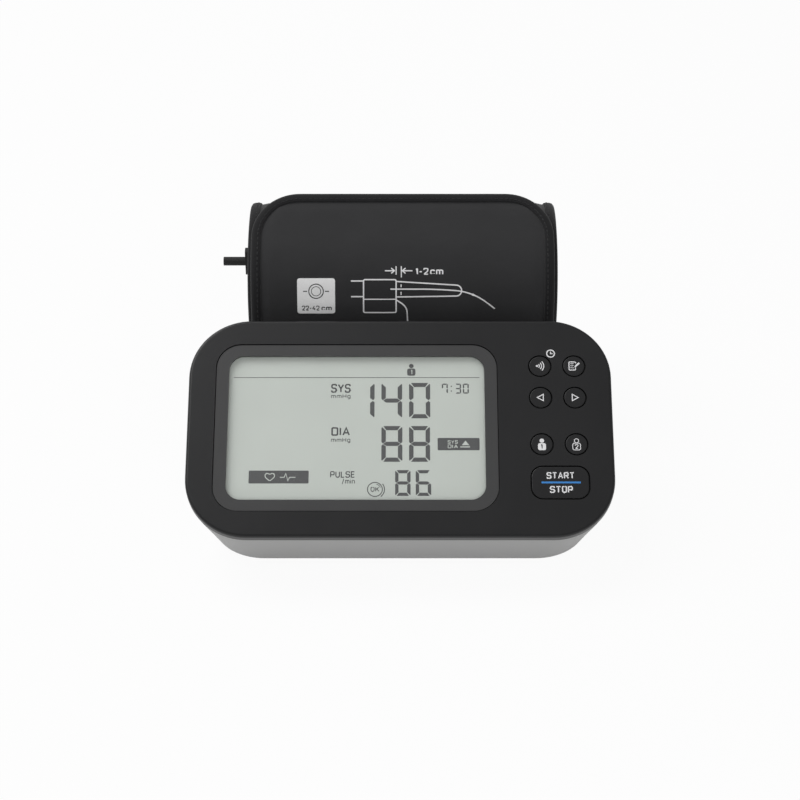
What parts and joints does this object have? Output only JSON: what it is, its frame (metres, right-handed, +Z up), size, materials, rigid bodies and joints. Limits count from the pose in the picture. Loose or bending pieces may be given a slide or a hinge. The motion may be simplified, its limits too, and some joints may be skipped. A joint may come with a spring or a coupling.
{
  "type": "upper arm blood pressure monitor",
  "caption": "Desk blood pressure monitor with a tilted display face and keys, and its upper arm cuff rolled up behind it.",
  "frame": {"origin": "on the table, under the middle of the box round the desk unit and the rolled cuff", "axes": "+X along the unit to the keys' side, +Y to the back where the cuff stands, +Z up"},
  "size_m": [0.191, 0.188, 0.1179],
  "materials": {
    "face_black": "satin charcoal",
    "housing_white": "satin white",
    "bezel_black": "satin charcoal, a shade lighter",
    "lens_clear": "clear acrylic",
    "lcd_glass": "grey-green liquid crystal panel",
    "frame_plastic": "moulded",
    "board_green": "solder resist",
    "chip_black": "moulded",
    "screw_steel": "zinc plated",
    "contact_steel": "nickel plated",
    "key_black": "satin charcoal with white prints",
    "foot_rubber": "matt",
    "cell_jacket": "printed sleeve",
    "motor_steel": "rolled can",
    "pump_plastic": "natural",
    "seal_rubber": "matt",
    "hose_rubber": "translucent silicone",
    "socket_plastic": "moulded",
    "cuff_shell_fabric": "woven, charcoal",
    "cuff_lining_fabric": "brushed loop, black",
    "cuff_foam": "foam",
    "core_plastic": "sheet",
    "bladder_rubber": "film",
    "binding_fabric": "woven tape, black",
    "hook_fabric": "moulded hooks, black",
    "port_rubber": "matt"
  },
  "bodies": {
    "unit": {"air_manifold": "pump_plastic", "air_socket": "socket_plastic", "board_components": "chip_black", "board_screws": "screw_steel", "buzzer": "chip_black", "case_screws": "screw_steel", "cell_1": "cell_jacket", "cell_2": "cell_jacket", "cell_3": "cell_jacket", "cell_4": "cell_jacket", "display_bezel": "bezel_black", "display_lens": "lens_clear", "foot_1": "foot_rubber", "foot_2": "foot_rubber", "foot_3": "foot_rubber", "foot_4": "foot_rubber", "hose_pump": "hose_rubber", "hose_sensor": "hose_rubber", "hose_socket": "hose_rubber", "hose_valve": "hose_rubber", "lcd_connectors": "seal_rubber", "lcd_frame": "frame_plastic", "lcd_panel": "lcd_glass", "lower_housing": "housing_white", "main_board": "board_green", "plate_contacts": "contact_steel", "power_socket": "socket_plastic", "pressure_sensor": "pump_plastic", "pump_cushion": "seal_rubber", "pump_head": "pump_plastic", "pump_motor": "motor_steel", "release_valve": "motor_steel", "spring_contacts": "contact_steel", "tact_switches": "chip_black", "top_cover": "face_black"},
    "key_back": {"key_back": "key_black"},
    "key_connect": {"key_connect": "key_black"},
    "key_forward": {"key_forward": "key_black"},
    "key_memory": {"key_memory": "key_black"},
    "key_start_stop": {"key_start_stop": "key_black"},
    "key_user_1": {"key_user_1": "key_black"},
    "key_user_2": {"key_user_2": "key_black"},
    "battery_cover": {"battery_cover": "housing_white"},
    "cuff": {"cuff_air_port": "port_rubber", "cuff_binding": "binding_fabric", "cuff_bladder": "bladder_rubber", "cuff_core": "core_plastic", "cuff_hook_tape": "hook_fabric", "cuff_lining": "cuff_lining_fabric", "cuff_outer_fabric": "cuff_shell_fabric", "cuff_padding": "cuff_foam"}
  },
  "joints": [
    {"name": "key_back_press", "type": "slide", "parent": "unit", "child": "key_back", "axis": [0, 0.5388, -0.8425], "range_m": [0, 0.0006], "stiffness_N_per_m": 1500},
    {"name": "key_connect_press", "type": "slide", "parent": "unit", "child": "key_connect", "axis": [0, 0.5388, -0.8425], "range_m": [0, 0.0006], "stiffness_N_per_m": 1500},
    {"name": "key_forward_press", "type": "slide", "parent": "unit", "child": "key_forward", "axis": [0, 0.5388, -0.8425], "range_m": [0, 0.0006], "stiffness_N_per_m": 1500},
    {"name": "key_memory_press", "type": "slide", "parent": "unit", "child": "key_memory", "axis": [0, 0.5388, -0.8425], "range_m": [0, 0.0006], "stiffness_N_per_m": 1500},
    {"name": "key_start_stop_press", "type": "slide", "parent": "unit", "child": "key_start_stop", "axis": [0, 0.5388, -0.8425], "range_m": [0, 0.0006], "stiffness_N_per_m": 1500},
    {"name": "key_user_1_press", "type": "slide", "parent": "unit", "child": "key_user_1", "axis": [0, 0.5388, -0.8425], "range_m": [0, 0.0006], "stiffness_N_per_m": 1500},
    {"name": "key_user_2_press", "type": "slide", "parent": "unit", "child": "key_user_2", "axis": [0, 0.5388, -0.8425], "range_m": [0, 0.0006], "stiffness_N_per_m": 1500},
    {"name": "battery_cover_slide", "type": "slide", "parent": "unit", "child": "battery_cover", "axis": [0, 1, 0], "range_m": [0, 0.008]},
    {"name": "cuff_lift", "type": "slide", "parent": "unit", "child": "cuff", "axis": [0, 0, 1], "range_m": [0, 0.15]}
  ]
}
